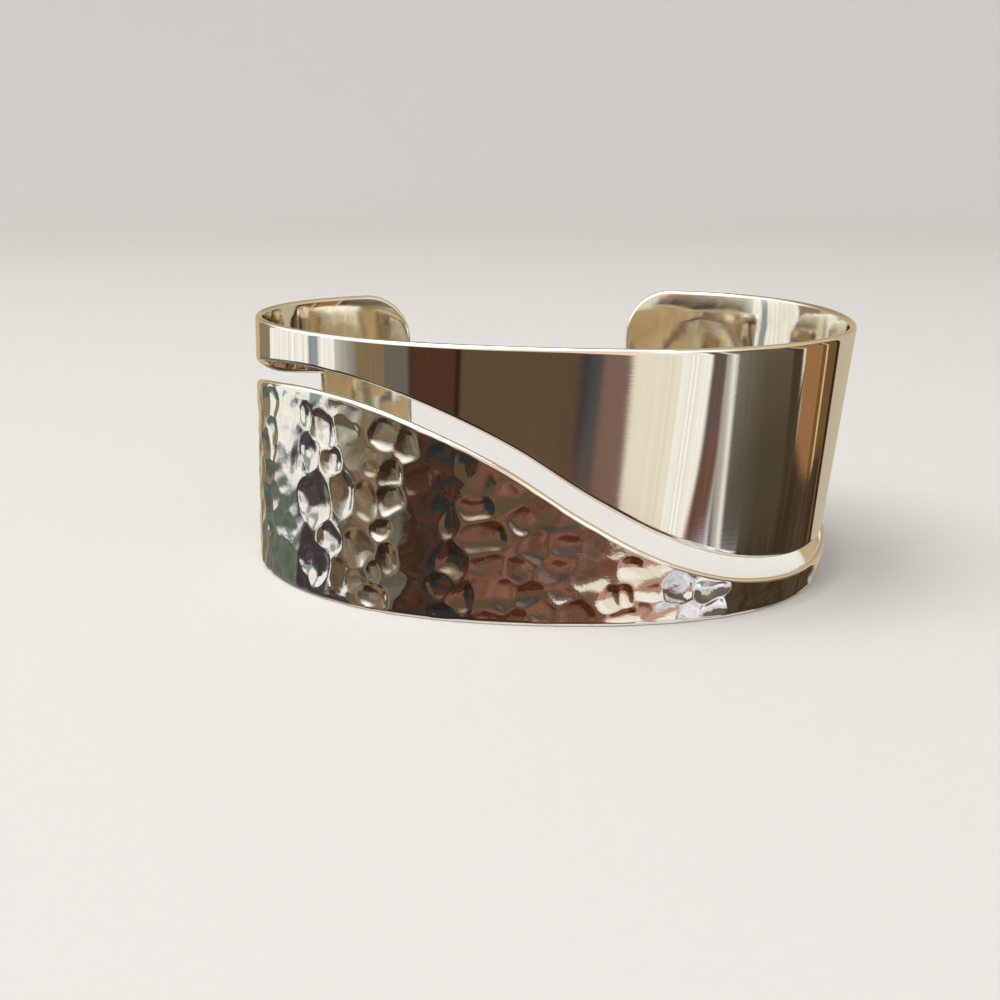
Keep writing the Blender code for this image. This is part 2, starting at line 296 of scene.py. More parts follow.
def sheetColumns(rim):
    # places of the mesh's columns along the sheet, with one at each end of the slot
    slotEnd = oval["halfSlot"] + rim
    cornerStart = oval["halfSheet"] - cuff["corner"]
    fineFirst, fineLast = cuff["fineEnds"]
    places = np.array([-slotEnd, fineFirst, fineLast, slotEnd])
    steps = np.diff(places) / [cuff["coarseStep"], cuff["fineStep"], cuff["coarseStep"]]
    count = np.concatenate([[0.0], np.cumsum(steps)])
    middle = np.interp(np.linspace(0, count[-1], round(count[-1]) + 1), count, places)
    tab = np.linspace(slotEnd, cornerStart, round((cornerStart - slotEnd) / cuff["tabStep"]) + 1)[1:]
    arc = np.linspace(0, math.pi / 2, cuff["cornerSteps"] + 1)[1:]
    rounded = cornerStart + (cuff["corner"] - rim) * np.sin(arc)
    side = np.concatenate([tab, rounded])
    return np.concatenate([-side[::-1], middle, side]), len(side), len(middle)


def sheetFace(rim):
    # flat grid of the sheet's face, its edges drawn in by the rim's radius: rows run from the lower
    # edge to the slot, across the slot (used only past its ends), and from the slot to the upper edge
    along, sideCount, middleCount = sheetColumns(rim)
    cornerStart = oval["halfSheet"] - cuff["corner"]
    past = np.clip(np.abs(along) - cornerStart, 0, cuff["corner"] - rim)
    drop = cuff["corner"] - np.sqrt((cuff["corner"] - rim) ** 2 - past ** 2)
    away = cuff["slotWidth"] / 2 + rim
    levels = (drop, slotEdge(along, -away), slotEdge(along, away), cuff["height"] - drop)
    bands = []
    for lower, upper, count in zip(levels, levels[1:], (cuff["lowerRows"], cuff["slotRows"],
                                                        cuff["upperRows"])):
        share = np.linspace(0, 1, count + 1)
        if count > cuff["slotRows"]:
            share[1:-1] = np.linspace(cuff["edgeShare"], 1 - cuff["edgeShare"], count - 1)
        share = share[None, 1 if bands else 0:]
        bands.append(lower[:, None] * (1 - share) + upper[:, None] * share)
    height = np.concatenate(bands, axis=1)
    grid = np.stack([np.broadcast_to(along[:, None], height.shape), height], axis=-1)
    return grid, sideCount, middleCount


def mitred(loop):
    # offset that moves both edges of each corner by one: (n1 + n2) / (1 + n1.n2), n = edge turned right
    edge = np.roll(loop, -1, axis=0) - loop
    edge /= np.linalg.norm(edge, axis=1)[:, None]
    ahead = np.stack([edge[:, 1], -edge[:, 0]], axis=1)
    behind = np.roll(ahead, 1, axis=0)
    return (ahead + behind) / (1 + np.sum(ahead * behind, axis=1))[:, None]


def gridLoop(index, first, last, bottom, top):
    # vertex numbers round a block of the grid, counter-clockwise
    return np.concatenate([
        index[first:last, bottom], index[last, bottom:top],
        index[last:first:-1, top], index[first, top:bottom:-1],
    ])


def cuffMesh():
    # flat coordinates (along, depth through the sheet, height) of every vertex, and the faces
    thick = cuff["sheet"]
    rim = thick / 2
    grid, sideCount, middleCount = sheetFace(rim)
    columnCount, rowCount = grid.shape[:2]
    index = np.arange(columnCount * rowCount).reshape(columnCount, rowCount)
    inner = index + index.size
    flat = grid.reshape(-1, 2)
    corners = [np.column_stack([flat[:, 0], np.zeros(len(flat)), flat[:, 1]]),
               np.column_stack([flat[:, 0], np.full(len(flat), thick), flat[:, 1]])]
    total = 2 * index.size

    slotFirst, slotLast = sideCount, sideCount + middleCount - 1
    slotBottom, slotTop = cuff["lowerRows"], cuff["lowerRows"] + cuff["slotRows"]
    cellColumn, cellRow = np.meshgrid(np.arange(columnCount - 1), np.arange(rowCount - 1), indexing="ij")
    inSlot = ((cellColumn >= slotFirst) & (cellColumn < slotLast)
              & (cellRow >= slotBottom) & (cellRow < slotTop))

    def quads(numbers, keep, turned):
        # the grid's cells as quads, counter-clockwise from outside, or turned round for the inner face
        a, b = numbers[:-1, :-1], numbers[1:, :-1]
        c, d = numbers[1:, 1:], numbers[:-1, 1:]
        cell = np.stack([a, d, c, b] if turned else [a, b, c, d], axis=-1)
        return cell[keep]

    outerFaces = quads(index, ~inSlot, False)
    underSlot = (cellRow < slotBottom) & (cellColumn >= slotFirst) & (cellColumn < slotLast)

    # inner face: every fourth row, with the rows it skips kept in the last column at each cut end,
    # whose cells are fans of triangles round a corner that lies off the cut
    step = cuff["innerRowStep"]
    coarse = inner[:, ::step]
    coarseColumn, coarseRow = np.meshgrid(np.arange(columnCount - 1), np.arange(coarse.shape[1] - 1),
                                          indexing="ij")
    coarseInSlot = ((coarseColumn >= slotFirst) & (coarseColumn < slotLast)
                    & (coarseRow * step >= slotBottom) & (coarseRow * step < slotTop))
    besideSlot = (coarseRow * step >= slotBottom) & (coarseRow * step < slotTop)
    leftEnd = (coarseColumn == 0) | ((coarseColumn == slotLast) & besideSlot)
    rightEnd = (coarseColumn == columnCount - 2) | ((coarseColumn == slotFirst - 1) & besideSlot)
    innerFaces = quads(coarse, ~coarseInSlot & ~leftEnd & ~rightEnd, True)
    endFaces = []
    for column, row in zip(coarseColumn[leftEnd], coarseRow[leftEnd] * step):
        around = [*inner[column, row:row + step + 1], inner[column + 1, row + step]]
        endFaces += [[inner[column + 1, row], a, b] for a, b in zip(around, around[1:])]
    for column, row in zip(coarseColumn[rightEnd], coarseRow[rightEnd] * step):
        around = [inner[column, row + step], *inner[column + 1, row:row + step + 1][::-1]]
        endFaces += [[inner[column, row], a, b] for a, b in zip(around, around[1:])]

    # rolled rims: half a circle of the sheet's thickness carried round the outline and the slot
    rimFaces = []
    for first, last, bottom, top, side in ((0, columnCount - 1, 0, rowCount - 1, 1),
                                           (slotFirst, slotLast, slotBottom, slotTop, -1)):
        loop = gridLoop(index, first, last, bottom, top)
        away = mitred(flat[loop]) * side
        rings = [loop]
        for angle in np.linspace(0, math.pi, cuff["rimSteps"] + 1)[1:-1]:
            moved = flat[loop] + away * rim * math.sin(angle)
            corners.append(np.column_stack([moved[:, 0], np.full(len(loop), rim * (1 - math.cos(angle))),
                                            moved[:, 1]]))
            rings.append(total + np.arange(len(loop)))
            total += len(loop)
        rings.append(loop + index.size)
        rings = np.array(rings)
        onward = np.roll(rings, -1, axis=1)
        ring = np.stack([rings[:-1], rings[1:], onward[1:], onward[:-1]], axis=-1).reshape(-1, 4)
        rimFaces.append(ring if side > 0 else ring[:, ::-1])
    rimFaces = np.concatenate(rimFaces)

    corners = np.concatenate(corners)
    faces = outerFaces.tolist() + innerFaces.tolist() + rimFaces.tolist() + endFaces
    material = np.zeros(len(faces), np.int32)
    material[:len(outerFaces)][underSlot[~inSlot]] = 1
    material[len(outerFaces):len(outerFaces) + len(innerFaces)] = 2
    material[len(faces) - len(endFaces):] = 2
    used = np.zeros(len(corners), bool)
    used[np.concatenate([np.ravel(part) for part in (outerFaces, innerFaces, rimFaces, endFaces)])] = True
    renumber = np.cumsum(used) - 1
    return corners[used], [[int(renumber[n]) for n in face] for face in faces], material


def buildCuff(materials):
    # bends every flat point round the oval, outward by: springing out - depth through the sheet - marks,
    # the marks dying away through the sheet
    flat, faces, material = cuffMesh()
    along, through, height = flat.T
    marks = hammerDepth(along, height) * np.clip(1 - through / cuff["sheet"], 0, 1)
    outward = springOut(along, height) - through - marks
    bent = bendRound(along, height, outward)

    mesh = bpy.data.meshes.new("silverCuff")
    mesh.from_pydata(bent.tolist(), [], faces)
    mesh.polygons.foreach_set("material_index", material)
    mesh.polygons.foreach_set("use_smooth", np.ones(len(faces), bool))
    flatSheet = mesh.attributes.new("flatSheet", "FLOAT_VECTOR", "POINT")
    flatSheet.data.foreach_set("vector", flat.ravel())
    for finish in materials:
        mesh.materials.append(finish)
    mesh.update()
    piece = bpy.data.objects.new("silverCuff", mesh)
    bpy.context.scene.collection.objects.link(piece)
    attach(piece, "root")
    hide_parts("cuff")
    triangles = sum(len(face) - 2 for face in faces)
    print("cuff built:", len(flat), "vertices,", triangles, "triangles")
    return piece


# the silver's finishes
silver = dict(
    colour="#f6f4ef",                     # fresh sterling silver: a near-white, slightly warm
    film="#dccba6",                       # the first straw-coloured film of tarnish
    patch=6.0 * mm,                       # width of the patches of film and of handling
    scratchLength=9.0 * mm,               # of the polishing lines, which run along the sheet
    scratchWidth=0.16 * mm,               # real ones are 0.02 mm: drawn coarser, so that they show
    peel=0.55 * mm,                       # fine unevenness that the hammer's face leaves in a dent
    nick=0.9 * mm,                        # spacing of the small knocks along the rims
    nickDepth=0.006 * mm,
    sway=5.5 * mm,                        # width of the soft waves that bending leaves
    # where in the patches' noise the film grows and the smears of handling do, and where in the lines'
    # noise their gloss changes
    filmRange=(0.42, 0.70), smearRange=(0.45, 0.75), lineRange=(0.3, 0.8),
    # roughness of the lines and of the smears, as shares of the finish's own
    lineRoughness=(0.7, 1.6), smearRoughness=0.7,
    # for each finish: its roughness, its least and greatest share of film, and how deep its scratches,
    # its peel and its waves are
    polished=dict(roughness=0.035, film=(0.0, 0.08),
                  scratchDepth=0.0009 * mm, peelDepth=0.0, swayDepth=0.0),
    hammered=dict(roughness=0.05, film=(0.0, 0.14),
                  scratchDepth=0.0005 * mm, peelDepth=0.007 * mm, swayDepth=0.0),
    burnished=dict(roughness=0.06, film=(0.15, 0.65),
                   scratchDepth=0.002 * mm, peelDepth=0.002 * mm, swayDepth=0.075 * mm),
)


def silverMaterial(name, finish):
    # all its patterns run on the flat sheet's own coordinates: along it, through it and up it
    material = bpy.data.materials.new(name)
    material.use_nodes = True
    tree = material.node_tree
    shader = tree.nodes["Principled BSDF"]
    shader.inputs["Metallic"].default_value = 1.0
    place = addNode(tree, "ShaderNodeAttribute", give="Vector", attribute_name="flatSheet")
    through = addNode(tree, "ShaderNodeSeparateXYZ", {0: place}, give=1)
    # 0 on both faces and 1 along the middle of a rim, where hands and cloth rub
    rubbed = addNode(tree, "ShaderNodeMapRange", {
        "Value": addNode(tree, "ShaderNodeMath", {0: through, 1: cuff["sheet"] / 2}, operation="PINGPONG"),
        "From Max": cuff["sheet"] / 2})

    # a film of tarnish in soft patches, rubbed off the rims
    patches = addNode(tree, "ShaderNodeTexNoise", {
        "Vector": place, "Scale": 1 / silver["patch"], "Detail": 5.0, "Roughness": 0.6})
    film = addNode(tree, "ShaderNodeMapRange", {
        "Value": patches, "From Min": silver["filmRange"][0], "From Max": silver["filmRange"][1],
        "To Min": finish["film"][0], "To Max": finish["film"][1]})
    film = addNode(tree, "ShaderNodeMapRange", {"Value": rubbed, "To Min": film, "To Max": 0.0})
    colour = addNode(tree, "ShaderNodeMix", {
        0: film, 6: hexColour(silver["colour"]), 7: hexColour(silver["film"])}, give=2, data_type="RGBA")

    # fine lines along the sheet, which also make its gloss uneven; smears where it is handled
    perLength, perWidth = 1 / silver["scratchLength"], 1 / silver["scratchWidth"]
    stretched = addNode(tree, "ShaderNodeMapping", {
        "Vector": place, "Scale": (perLength, perWidth, perWidth)})
    lines = addNode(tree, "ShaderNodeTexNoise", {
        "Vector": stretched, "Scale": 1.0, "Detail": 3.0, "Roughness": 0.7})
    lineGloss = addNode(tree, "ShaderNodeMapRange", {
        "Value": lines, "From Min": silver["lineRange"][0], "From Max": silver["lineRange"][1],
        "To Min": silver["lineRoughness"][0] * finish["roughness"],
        "To Max": silver["lineRoughness"][1] * finish["roughness"]})
    smearGloss = addNode(tree, "ShaderNodeMapRange", {
        "Value": patches, "From Min": silver["smearRange"][0], "From Max": silver["smearRange"][1],
        "To Max": silver["smearRoughness"] * finish["roughness"]})
    gloss = addNode(tree, "ShaderNodeMath", {0: lineGloss, 1: smearGloss}, operation="ADD")

    # relief: the lines, the peel of the hammer's face, soft waves, and small knocks along the rims
    peel = addNode(tree, "ShaderNodeTexNoise", {
        "Vector": place, "Scale": 1 / silver["peel"], "Detail": 2.0, "Roughness": 0.5})
    waves = addNode(tree, "ShaderNodeTexNoise", {
        "Vector": place, "Scale": 1 / silver["sway"], "Detail": 2.0, "Roughness": 0.4})
    knocks = addNode(tree, "ShaderNodeTexNoise", {
        "Vector": place, "Scale": 1 / silver["nick"], "Detail": 2.0, "Roughness": 0.5})
    knocks = addNode(tree, "ShaderNodeMath", {0: knocks, 1: rubbed}, operation="MULTIPLY")
    normal = addNode(tree, "ShaderNodeBump", {"Height": lines, "Distance": finish["scratchDepth"]})
    normal = addNode(tree, "ShaderNodeBump", {
        "Height": peel, "Distance": finish["peelDepth"], "Normal": normal})
    normal = addNode(tree, "ShaderNodeBump", {
        "Height": waves, "Distance": finish["swayDepth"], "Normal": normal})
    normal = addNode(tree, "ShaderNodeBump", {
        "Height": knocks, "Distance": silver["nickDepth"], "Normal": normal})
    for socket, given in {"Base Color": colour, "Roughness": gloss, "Normal": normal}.items():
        tree.links.new(given, shader.inputs[socket])
    return material


# the room that the silver mirrors
tones = dict(
    cream="#ebe2cf", white="#f6f3ea", lilac="#e6e6ec", paleGreen="#bfbeb1", blueGrey="#909b9d",
    mottled="#7f756a", olive="#846f53", greyOlive="#6a665a", darkBrown="#4a3329", redBrown="#513528",
    taupe="#5d4d3a", plum="#3b3033", slate="#474b4b", mauve="#7e645a", amber="#9a7048", brown="#6f5434",
    nearBlack="#2e2219", darkTaupe="#4f4538", sand="#c2b59e", tan="#8b7c68", darkGrey="#64544f",
    greyGreen="#6b7367", pinkBrown="#785243", rust="#6e4c40", pink="#b98f7c", umber="#3f2c22",
    coal="#46433f", aubergine="#4a3f42", blonde="#e8c48c", honey="#c3ae8b", deepSlate="#2d2f30",
    table="#ddd8cd", oxblood="#4c2c1f", blueTaupe="#5e5a51", ash="#a9a198", coffee="#483a2b",
    shell="#dcb9a2",
)

room = dict(
    # azimuth, and how many degrees of it the upright stripes lean there for each degree up
    lean=((-180, -0.6), (-130, -0.6), (-110, -0.4), (-70, 0.4), (-40, 0.4), (-12, 1.3), (5, 1.3),
          (33, 0.45), (42, 0.62), (47, 0.8), (55, 0.95), (95, 1.6), (180, 1.6)),
    leanRange=(-1.0, 2.0),                # least and greatest lean that their ramp can hold
    leanWithin=(-22.0, 12.0),             # degrees of elevation past which they stand straight
    # what stands round the cuff at its own height: azimuth where it starts, in degrees to the right
    # of the front, its tone, and the tone that it runs to
    level=(
        (-180, "honey", "honey"), (-147, "tan", "tan"), (-129.5, "white", "white"),
        (-101.6, "blueGrey", "blueGrey"), (-96.4, "white", "white"), (-88.2, "paleGreen", "mottled"),
        (-77, "olive", "olive"), (-64.4, "greyOlive", "greyOlive"), (-54.1, "darkBrown", "darkBrown"),
        (-51.8, "redBrown", "redBrown"), (-38.3, "nearBlack", "nearBlack"), (-36.9, "taupe", "taupe"),
        (-17.9, "plum", "plum"), (-16.9, "slate", "slate"), (-14.3, "mauve", "mauve"),
        (-7.8, "cream", "cream"), (11, "white", "white"), (28.2, "darkGrey", "darkGrey"),
        (33.3, "ash", "ash"), (35.2, "white", "white"), (36.6, "blueTaupe", "darkTaupe"),
        (50, "darkTaupe", "darkTaupe"), (63.6, "coffee", "coffee"), (69.8, "cream", "cream"),
        (71.4, "amber", "amber"), (88, "brown", "brown"), (92.5, "blonde", "blonde"),
        (94.3, "brown", "brown"), (106, "nearBlack", "nearBlack"), (110.5, "sand", "sand"),
        (144.8, "honey", "honey"),
    ),
    # one stretch of it, the dark cabinet to the right, is lighter at its top: middle and half width
    # in degrees, the elevations over which it grows lighter, and by what share
    cabinet=(50.1, 13.3), cabinetFrom=-16.5, cabinetTo=-12.5, cabinetGain=0.68,
    # what lies below it
    low=(
        (-180, "honey", "honey"), (-156, "tan", "greyOlive"), (-137, "lilac", "lilac"),
        (-113, "coal", "coal"), (-98, "white", "white"), (-90, "darkTaupe", "olive"),
        (-70, "mottled", "greyOlive"), (-57, "umber", "darkBrown"), (-44, "deepSlate", "deepSlate"),
        (-31, "pinkBrown", "pinkBrown"), (10, "pink", "pink"), (33.8, "rust", "rust"),
        (44, "lilac", "lilac"), (63, "coffee", "coffee"), (150, "honey", "honey"),
    ),
    # and lower still
    ground=(
        (-180, "honey", "tan"), (-148, "greyGreen", "greyGreen"), (-113, "aubergine", "aubergine"),
        (-92, "darkBrown", "olive"), (-72, "umber", "umber"), (-46, "nearBlack", "nearBlack"),
        (-31, "oxblood", "oxblood"), (18, "pinkBrown", "pinkBrown"), (26, "lilac", "lilac"),
        (50, "ash", "coal"), (64, "coffee", "coffee"), (127, "umber", "umber"),
    ),
    # by azimuth: the elevation at which the level part gives way to the low one, and that at which the
    # low one gives way to the lowest; over how many degrees on either side the first does; and how
    # much fine upright streaks lighten and darken it all
    borderColumns=("azimuth", "lowBelow", "groundBelow", "lowFade", "streaks"),
    borders=(
        (-180, -12.0, -18.0, 1.6, 0.06), (-150, -9.8, -10.6, 0.8, 0.12), (-120, -9.0, -9.6, 0.8, 0.34),
        (-108, -6.4, -9.4, 1.0, 0.34), (-90, -4.6, -12.0, 1.2, 0.12), (-60, -2.5, -14.0, 1.6, 0.06),
        (-40, -2.4, -15.0, 1.6, 0.06), (-30, -3.6, -11.0, 2.2, 0.06), (-24, -4.6, -11.5, 2.6, 0.06),
        (-16, -6.0, -12.5, 2.8, 0.10), (-8, -8.0, -14.0, 2.8, 0.16), (0, -10.2, -16.0, 2.6, 0.06),
        (8, -11.9, -18.0, 1.6, 0.06), (16, -13.5, -19.5, 1.1, 0.14), (24, -14.9, -20.5, 0.9, 0.26),
        (31, -16.6, -19.5, 0.9, 0.26), (35, -13.9, -17.0, 0.9, 0.16), (43, -13.9, -17.2, 0.9, 0.16),
        (46, -18.3, -20.0, 1.2, 0.12), (60, -19.2, -34.0, 1.2, 0.06), (91, -19.0, -38.0, 1.0, 0.08),
        (94, -13.7, -38.0, 0.6, 0.12), (96, -15.9, -38.0, 0.5, 0.12), (99, -16.7, -38.0, 0.4, 0.12),
        (107, -17.1, -38.0, 0.4, 0.12), (117, -17.0, -38.0, 0.4, 0.12), (124, -15.6, -38.0, 0.5, 0.12),
        (128, -15.4, -38.0, 0.6, 0.12), (133, -19.0, -38.0, 1.2, 0.10), (180, -20.0, -30.0, 1.6, 0.06),
    ),
    deepest=-45.0,                        # lowest border that a ramp can hold
    groundFade=1.2,
    # degrees by which the stripes of each part are drawn in at their sides, to run into each other
    soften=dict(level=0.3, low=1.5, ground=2.0),
    clutter=0.36, clutterScale=9.0,       # how much, and how finely, the low parts are mottled
    clutterRange=(0.35, 0.65),            # where in its noise that runs from darkest to lightest
    # what stands above it, lamps and ceiling, as (azimuth, tone)
    high=((-180, "tan"), (-150, "tan"), (-130, "white"), (-60, "white"), (-40, "cream"), (-24, "shell"),
          (0, "shell"), (14, "white"), (36, "white"), (55, "sand"), (90, "honey"), (180, "tan")),
    highStrength=1.35,
    highFrom=2.5, highTo=17.0,            # degrees over which the high part comes in
    overhead="sand",                      # straight up
    overheadFrom=45.0, overheadTo=65.0,
    underfoot="table",                    # straight below: the pale table under the rims
    underfootFrom=-36.0, underfootTo=-48.0,
    streaksPerDegree=0.8, streakRange=(0.3, 0.7),
    soft="#f1f1f0", softStrength=0.8,     # the plain light that matt things get from it
)


def stripeStops(part, first, last):
    # ramp stops over azimuths first to last: each stripe holds from its start to the next one's
    stripes, edge = room[part], room["soften"][part]
    stops = []
    ends = [start for start, _, _ in stripes[1:]] + [180]
    for (start, tone, runsTo), end in zip(stripes, ends):
        if end <= first or start >= last:
            continue
        begin, finish = max(start + edge, first), min(end - edge, last)
        stops.append(((begin - first) / (last - first), hexColour(tones[tone])))
        stops.append(((finish - first) / (last - first), hexColour(tones[runsTo])))
    return stops


def shareStops(rows):
    # ramp stops over the whole turn, which keep (azimuth, share) rows as greys
    return [((azimuth + 180) / 360, (share, share, share, 1.0)) for azimuth, share in rows]


def borderStops(name, whole):
    # ramp stops for a column of the borders, as shares of whole
    column = room["borderColumns"].index(name)
    return shareStops((row[0], row[column] / whole) for row in room["borders"])


def stripesRound(tree, bearing, part):
    # upright stripes, in two ramps, left and right of the front, because one ramp holds 32 stops
    left, right = [addNode(tree, "ShaderNodeValToRGB", {
        0: addNode(tree, "ShaderNodeMapRange", {"Value": bearing, "From Min": first, "From Max": last})
    }, stops=stripeStops(part, first, last)) for first, last in ((-180.0, 0.0), (0.0, 180.0))]
    isRight = addNode(tree, "ShaderNodeMath", {0: bearing, 1: 0.0}, operation="GREATER_THAN")
    return addNode(tree, "ShaderNodeMix", {0: isRight, 6: left, 7: right}, give=2, data_type="RGBA")


def overBorder(tree, turn, elevation, name):
    # degrees by which a direction is above a border, which its ramp keeps as a share of the deepest
    border = addNode(tree, "ShaderNodeValToRGB", {0: turn}, stops=borderStops(name, room["deepest"]))
    return addNode(tree, "ShaderNodeMath", {0: border, 1: -room["deepest"], 2: elevation},
                   operation="MULTIPLY_ADD")


def buildWorld():
    world = bpy.data.worlds.new("room")
    bpy.context.scene.world = world
    world.use_nodes = True
    tree = world.node_tree
    tree.nodes.clear()

    # azimuth = atan2(x, -y) and elevation = asin z, both in degrees
    direction = addNode(tree, "ShaderNodeTexCoord", give="Generated")
    x, y, z = addNode(tree, "ShaderNodeSeparateXYZ", {0: direction}).node.outputs
    minusY = addNode(tree, "ShaderNodeMath", {0: y, 1: -1.0}, operation="MULTIPLY")
    azimuth = addNode(tree, "ShaderNodeMath", {0: x, 1: minusY}, operation="ARCTAN2")
    azimuth = addNode(tree, "ShaderNodeMath", {0: azimuth}, operation="DEGREES")
    elevation = addNode(tree, "ShaderNodeMath", {0: z}, operation="ARCSINE")
    elevation = addNode(tree, "ShaderNodeMath", {0: elevation}, operation="DEGREES")
    turn = addNode(tree, "ShaderNodeMapRange", {
        "Value": azimuth, "From Min": -180.0, "From Max": 180.0})

    # the level stripes lean: azimuth + lean elevation, the elevation kept within leanWithin
    least, most = room["leanRange"]
    leanStops = shareStops((at, (lean - least) / (most - least)) for at, lean in room["lean"])
    lowest, highest = room["leanWithin"]
    gentle = addNode(tree, "ShaderNodeMapRange", {
        "Value": elevation, "From Min": lowest, "From Max": highest, "To Min": lowest, "To Max": highest})
    lean = addNode(tree, "ShaderNodeMapRange", {
        "Value": addNode(tree, "ShaderNodeValToRGB", {0: turn}, stops=leanStops),
        "To Min": least, "To Max": most})
    leaning = addNode(tree, "ShaderNodeMath", {0: gentle, 1: lean, 2: azimuth}, operation="MULTIPLY_ADD")

    # lowest layer, low layer over it where the elevation is over the border, the table straight below,
    # and all three mottled
    share = addNode(tree, "ShaderNodeMapRange", {
        "Value": overBorder(tree, turn, elevation, "groundBelow"),
        "From Min": -room["groundFade"], "From Max": room["groundFade"]}, interpolation_type="SMOOTHSTEP")
    mixed = addNode(tree, "ShaderNodeMix", {
        0: share, 6: stripesRound(tree, azimuth, "ground"), 7: stripesRound(tree, azimuth, "low")},
        give=2, data_type="RGBA")
    share = addNode(tree, "ShaderNodeMapRange", {
        "Value": elevation, "From Min": room["underfootFrom"], "From Max": room["underfootTo"]})
    mixed = addNode(tree, "ShaderNodeMix", {
        0: share, 6: mixed, 7: hexColour(tones[room["underfoot"]])}, give=2, data_type="RGBA")
    mottle = addNode(tree, "ShaderNodeTexNoise", {
        "Vector": direction, "Scale": room["clutterScale"], "Detail": 3.0, "Roughness": 0.6})
    gain = addNode(tree, "ShaderNodeMapRange", {
        "Value": mottle, "From Min": room["clutterRange"][0], "From Max": room["clutterRange"][1],
        "To Min": 1 - room["clutter"], "To Max": 1 + room["clutter"]})
    mixed = addNode(tree, "ShaderNodeVectorMath", {0: mixed, "Scale": gain}, operation="SCALE")

    # the level layer over its border, with the cabinet's lighter top, then the lamps and the ceiling
    fade = addNode(tree, "ShaderNodeValToRGB", {0: turn}, stops=borderStops("lowFade", 1))
    overLow = addNode(tree, "ShaderNodeMath", {
        0: overBorder(tree, turn, elevation, "lowBelow"), 1: fade}, operation="DIVIDE")
    share = addNode(tree, "ShaderNodeMapRange", {
        "Value": overLow, "From Min": -1.0, "From Max": 1.0}, interpolation_type="SMOOTHSTEP")
    middle, halfWidth = room["cabinet"]
    cabinet = addNode(tree, "ShaderNodeMath", {0: leaning, 1: middle, 2: halfWidth}, operation="COMPARE")
    gain = addNode(tree, "ShaderNodeMapRange", {
        "Value": elevation, "From Min": room["cabinetFrom"], "From Max": room["cabinetTo"],
        "To Max": room["cabinetGain"]})
    gain = addNode(tree, "ShaderNodeMath", {0: gain, 1: cabinet, 2: 1.0}, operation="MULTIPLY_ADD")
    level = addNode(tree, "ShaderNodeVectorMath", {
        0: stripesRound(tree, leaning, "level"), "Scale": gain}, operation="SCALE")
    mixed = addNode(tree, "ShaderNodeMix", {0: share, 6: mixed, 7: level}, give=2, data_type="RGBA")
    lamps = addNode(tree, "ShaderNodeValToRGB", {0: turn}, stops=[
        ((at + 180) / 360, tuple(part * room["highStrength"] for part in hexColour(tones[tone])))
        for at, tone in room["high"]])
    share = addNode(tree, "ShaderNodeMapRange", {
        "Value": elevation, "From Min": room["highFrom"], "From Max": room["highTo"]},
        interpolation_type="SMOOTHSTEP")
    mixed = addNode(tree, "ShaderNodeMix", {0: share, 6: mixed, 7: lamps}, give=2, data_type="RGBA")
    share = addNode(tree, "ShaderNodeMapRange", {
        "Value": elevation, "From Min": room["overheadFrom"], "From Max": room["overheadTo"]})
    mixed = addNode(tree, "ShaderNodeMix", {
        0: share, 6: mixed, 7: hexColour(tones[room["overhead"]])}, give=2, data_type="RGBA")

    # fine upright streaks lighten and darken it all
    streak = addNode(tree, "ShaderNodeTexNoise", {
        "W": leaning, "Scale": room["streaksPerDegree"], "Detail": 3.0, "Roughness": 0.7},
        noise_dimensions="1D")
    streak = addNode(tree, "ShaderNodeMapRange", {
        "Value": streak, "From Min": room["streakRange"][0], "From Max": room["streakRange"][1],
        "To Min": -1.0})
    strength = addNode(tree, "ShaderNodeValToRGB", {0: turn}, stops=borderStops("streaks", 1))
    gain = addNode(tree, "ShaderNodeMath", {0: streak, 1: strength, 2: 1.0}, operation="MULTIPLY_ADD")
    mixed = addNode(tree, "ShaderNodeVectorMath", {0: mixed, "Scale": gain}, operation="SCALE")

    # only the mirroring silver sees the room: everything matt gets a plain soft light from it
    mirrored = addNode(tree, "ShaderNodeBackground", {"Color": mixed})
    plain = addNode(tree, "ShaderNodeBackground", {
        "Color": hexColour(room["soft"]), "Strength": room["softStrength"]})
    isGlossy = addNode(tree, "ShaderNodeLightPath", give="Is Glossy Ray")
    both = addNode(tree, "ShaderNodeMixShader", {0: isGlossy, 1: plain, 2: mirrored})
    tree.links.new(both, tree.nodes.new("ShaderNodeOutputWorld").inputs["Surface"])


# floor, light and camera
stage = dict(
    floorRadius=0.55, sweepRadius=0.30, wallTop=0.75, middleRadius=0.02,
    floorRings=12, sweepRings=24, sides=96,
    # painted card, with a faint grain of fibres that keeps it from looking computed
    colour="#dad9d7", paler="#dedddb", roughness=0.9, fibre=1.2 * mm, fibreDepth=0.02 * mm,
    lightSize=0.70, lightPlace=(-0.25, -0.15, 0.70), lightPower=4.0, lightColour="#fffdf9",
)

camera = dict(
    place=(-0.005553, -0.189735, 0.049532),
    pitch=77.218,                         # degrees from straight down: it looks down by 12.8 degrees
    lens=62.04, sensor=36.0, nearest=0.01,
)


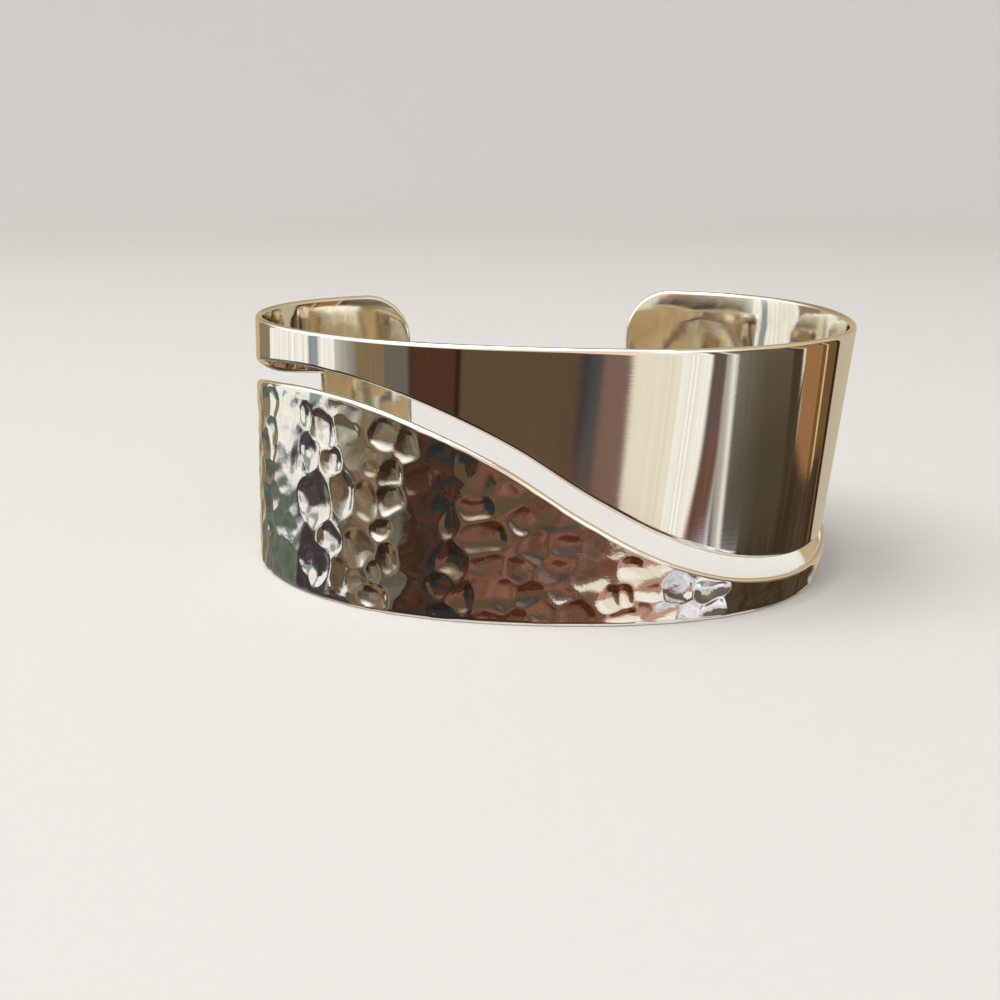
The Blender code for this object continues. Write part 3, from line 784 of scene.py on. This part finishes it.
def buildStage():
    # floor turned round Z: flat to floorRadius, a quarter circle up, then a wall to wallTop
    floorRadius, sweepRadius = stage["floorRadius"], stage["sweepRadius"]
    arc = np.linspace(0, math.pi / 2, stage["sweepRings"])[1:]
    reach = np.concatenate([np.linspace(stage["middleRadius"], floorRadius, stage["floorRings"]),
                            floorRadius + sweepRadius * np.sin(arc), [floorRadius + sweepRadius]])
    up = np.concatenate([np.zeros(stage["floorRings"]), sweepRadius * (1 - np.cos(arc)),
                         [stage["wallTop"]]])
    turn = np.linspace(0, 2 * math.pi, stage["sides"] + 1)[:-1]
    corners = np.stack([reach[:, None] * np.cos(turn), reach[:, None] * np.sin(turn),
                        np.broadcast_to(up[:, None], (len(up), len(turn)))], axis=-1).reshape(-1, 3)
    index = np.arange(len(corners)).reshape(len(up), len(turn))
    onward = np.roll(index, -1, axis=1)
    faces = np.stack([index[:-1], index[1:], onward[1:], onward[:-1]], axis=-1).reshape(-1, 4).tolist()
    faces.append(index[0].tolist())       # the middle of the floor
    mesh = bpy.data.meshes.new("paleSweep")
    mesh.from_pydata(corners.tolist(), [], faces)
    mesh.polygons.foreach_set("use_smooth", np.ones(len(faces), bool))
    material = bpy.data.materials.new("matt painted card")
    material.use_nodes = True
    tree = material.node_tree
    shader = tree.nodes["Principled BSDF"]
    place = addNode(tree, "ShaderNodeTexCoord", give="Object")
    fibres = addNode(tree, "ShaderNodeTexNoise", {
        "Vector": place, "Scale": 1 / stage["fibre"], "Detail": 3.0, "Roughness": 0.6})
    colour = addNode(tree, "ShaderNodeMix", {
        0: fibres, 6: hexColour(stage["colour"]), 7: hexColour(stage["paler"])},
        give=2, data_type="RGBA")
    relief = addNode(tree, "ShaderNodeBump", {"Height": fibres, "Distance": stage["fibreDepth"]})
    tree.links.new(colour, shader.inputs["Base Color"])
    tree.links.new(relief, shader.inputs["Normal"])
    shader.inputs["Roughness"].default_value = stage["roughness"]
    mesh.materials.append(material)
    sweep = bpy.data.objects.new("paleSweep", mesh)
    bpy.context.scene.collection.objects.link(sweep)
    sweep.visible_glossy = False          # the silver mirrors the room, not the sweep

    lamp = bpy.data.lights.new("softBox", "AREA")
    lamp.shape = "SQUARE"
    lamp.size = stage["lightSize"]
    lamp.energy = stage["lightPower"]
    lamp.color = hexColour(stage["lightColour"])[:3]
    softBox = bpy.data.objects.new("softBox", lamp)
    softBox.location = stage["lightPlace"]
    softBox.rotation_euler = (-Vector(stage["lightPlace"])).to_track_quat("-Z", "Y").to_euler()
    bpy.context.scene.collection.objects.link(softBox)


def buildCamera():
    lens = bpy.data.cameras.new("camera")
    lens.lens = camera["lens"]
    lens.sensor_width = camera["sensor"]
    lens.clip_start = camera["nearest"]
    eye = bpy.data.objects.new("camera", lens)
    eye.location = camera["place"]
    eye.rotation_euler = (math.radians(camera["pitch"]), 0.0, 0.0)
    bpy.context.scene.collection.objects.link(eye)
    bpy.context.scene.camera = eye


bpy.context.scene.view_settings.view_transform = "Standard"
buildCamera()
buildStage()
buildWorld()
print("stage, light and camera ready")
buildCuff((
    # polished on a mop to a mirror, so it shows upright stripes of the room, crossed by fine lines
    silverMaterial("mirror-polished sterling silver", silver["polished"]),
    # planished with a round hammer, so each dent is a small curved mirror with a faint orange peel
    silverMaterial("hammered sterling silver", silver["hammered"]),
    # bent over a mandrel and burnished by hand, so the inside mirrors in soft waves, a little warmer
    silverMaterial("burnished sterling silver", silver["burnished"]),
))
